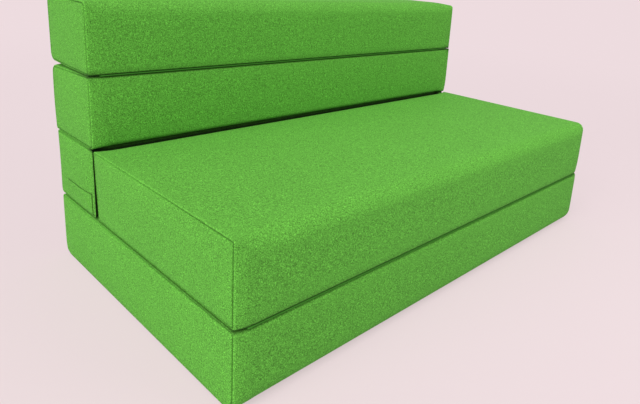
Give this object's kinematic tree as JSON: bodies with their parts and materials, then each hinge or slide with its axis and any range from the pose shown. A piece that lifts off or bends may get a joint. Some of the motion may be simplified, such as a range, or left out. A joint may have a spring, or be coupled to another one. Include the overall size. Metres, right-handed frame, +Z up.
{
  "type": "folding foam sofa bed",
  "caption": "Low sofa of foam blocks in bright green zipped covers, joined by fabric fold tapes, that unfolds forwards and backwards into a flat bed.",
  "frame": {"origin": "on the floor under the middle of the folded sofa", "axes": "+X along the width, to the right of a person facing the front; +Y from the front to the rear; +Z up"},
  "size_m": [1.2212, 0.711, 0.6096],
  "materials": {
    "cover_fabric": "matte",
    "fold_tape": "matte",
    "foam": "matte",
    "zip_tape": "matte",
    "zip_coil": "satin",
    "zip_metal": "satin"
  },
  "bodies": {
    "base": {"base_foam": "foam", "base_cover": "cover_fabric", "base_end_left": "cover_fabric", "base_end_right": "cover_fabric", "base_zip_tape": "zip_tape", "base_zip_chain": "zip_coil", "seat_fold_tape": "fold_tape"},
    "seat": {"seat_foam": "foam", "seat_cover": "cover_fabric", "seat_end_left": "cover_fabric", "seat_end_right": "cover_fabric", "seat_zip_tape": "zip_tape", "seat_zip_chain": "zip_coil", "lower_back_foam": "foam", "lower_back_cover": "cover_fabric", "lower_back_end_left": "cover_fabric", "lower_back_end_right": "cover_fabric", "lower_back_zip_tape": "zip_tape", "lower_back_zip_chain": "zip_coil", "lower_back_patch_left": "cover_fabric", "lower_back_patch_right": "cover_fabric", "seat_gap_tape": "fold_tape", "middle_fold_tape": "fold_tape"},
    "middle_back": {"middle_back_foam": "foam", "middle_back_cover": "cover_fabric", "middle_back_end_left": "cover_fabric", "middle_back_end_right": "cover_fabric", "middle_back_zip_tape": "zip_tape", "middle_back_zip_chain": "zip_coil", "top_fold_tape": "fold_tape"},
    "top_back": {"top_back_foam": "foam", "top_back_cover": "cover_fabric", "top_back_end_left": "cover_fabric", "top_back_end_right": "cover_fabric", "top_back_zip_tape": "zip_tape", "top_back_zip_chain": "zip_coil"},
    "base_zip_slider": {"base_zip_slider": "zip_metal"},
    "base_zip_pull": {"base_zip_pull": "zip_metal"},
    "seat_zip_slider": {"seat_zip_slider": "zip_metal"},
    "seat_zip_pull": {"seat_zip_pull": "zip_metal"},
    "lower_back_zip_slider": {"lower_back_zip_slider": "zip_metal"},
    "lower_back_zip_pull": {"lower_back_zip_pull": "zip_metal"},
    "middle_back_zip_slider": {"middle_back_zip_slider": "zip_metal"},
    "middle_back_zip_pull": {"middle_back_zip_pull": "zip_metal"},
    "top_back_zip_slider": {"top_back_zip_slider": "zip_metal"},
    "top_back_zip_pull": {"top_back_zip_pull": "zip_metal"}
  },
  "joints": [
    {"name": "seat_fold", "type": "hinge", "parent": "base", "child": "seat", "pos_m": [0, -0.3556, 0.1524], "axis": [1, 0, 0], "range_deg": [0, 180], "deforming": ["seat_fold_tape"]},
    {"name": "middle_back_fold", "type": "hinge", "parent": "seat", "child": "middle_back", "pos_m": [0, 0.3556, 0.3048], "axis": [-1, 0, 0], "range_deg": [0, 180], "deforming": ["middle_fold_tape"]},
    {"name": "top_back_fold", "type": "hinge", "parent": "middle_back", "child": "top_back", "pos_m": [0, 0.1524, 0.4572], "axis": [1, 0, 0], "range_deg": [0, 180], "deforming": ["top_fold_tape"]},
    {"name": "base_zip_run", "type": "slide", "parent": "base", "child": "base_zip_slider", "axis": [1, 0, 0], "range_m": [0, 0.9856]},
    {"name": "base_pull_swing", "type": "hinge", "parent": "base_zip_slider", "child": "base_zip_pull", "pos_m": [-0.4928, 0.3531, 0.0762], "axis": [0, 0, 1], "range_deg": [0, 180]},
    {"name": "seat_zip_run", "type": "slide", "parent": "seat", "child": "seat_zip_slider", "axis": [1, 0, 0], "range_m": [0, 0.9856]},
    {"name": "seat_pull_swing", "type": "hinge", "parent": "seat_zip_slider", "child": "seat_zip_pull", "pos_m": [-0.4928, 0.1499, 0.2286], "axis": [0, 0, 1], "range_deg": [0, 20]},
    {"name": "lower_back_zip_run", "type": "slide", "parent": "seat", "child": "lower_back_zip_slider", "axis": [1, 0, 0], "range_m": [0, 0.9856]},
    {"name": "lower_back_pull_swing", "type": "hinge", "parent": "lower_back_zip_slider", "child": "lower_back_zip_pull", "pos_m": [-0.4928, 0.3531, 0.2286], "axis": [0, 0, 1], "range_deg": [0, 180]},
    {"name": "middle_back_zip_run", "type": "slide", "parent": "middle_back", "child": "middle_back_zip_slider", "axis": [1, 0, 0], "range_m": [0, 0.9856]},
    {"name": "middle_back_pull_swing", "type": "hinge", "parent": "middle_back_zip_slider", "child": "middle_back_zip_pull", "pos_m": [-0.4928, 0.3531, 0.381], "axis": [0, 0, 1], "range_deg": [0, 180]},
    {"name": "top_back_zip_run", "type": "slide", "parent": "top_back", "child": "top_back_zip_slider", "axis": [1, 0, 0], "range_m": [0, 0.9856]},
    {"name": "top_back_pull_swing", "type": "hinge", "parent": "top_back_zip_slider", "child": "top_back_zip_pull", "pos_m": [-0.4928, 0.3531, 0.5334], "axis": [0, 0, 1], "range_deg": [0, 180]}
  ]
}
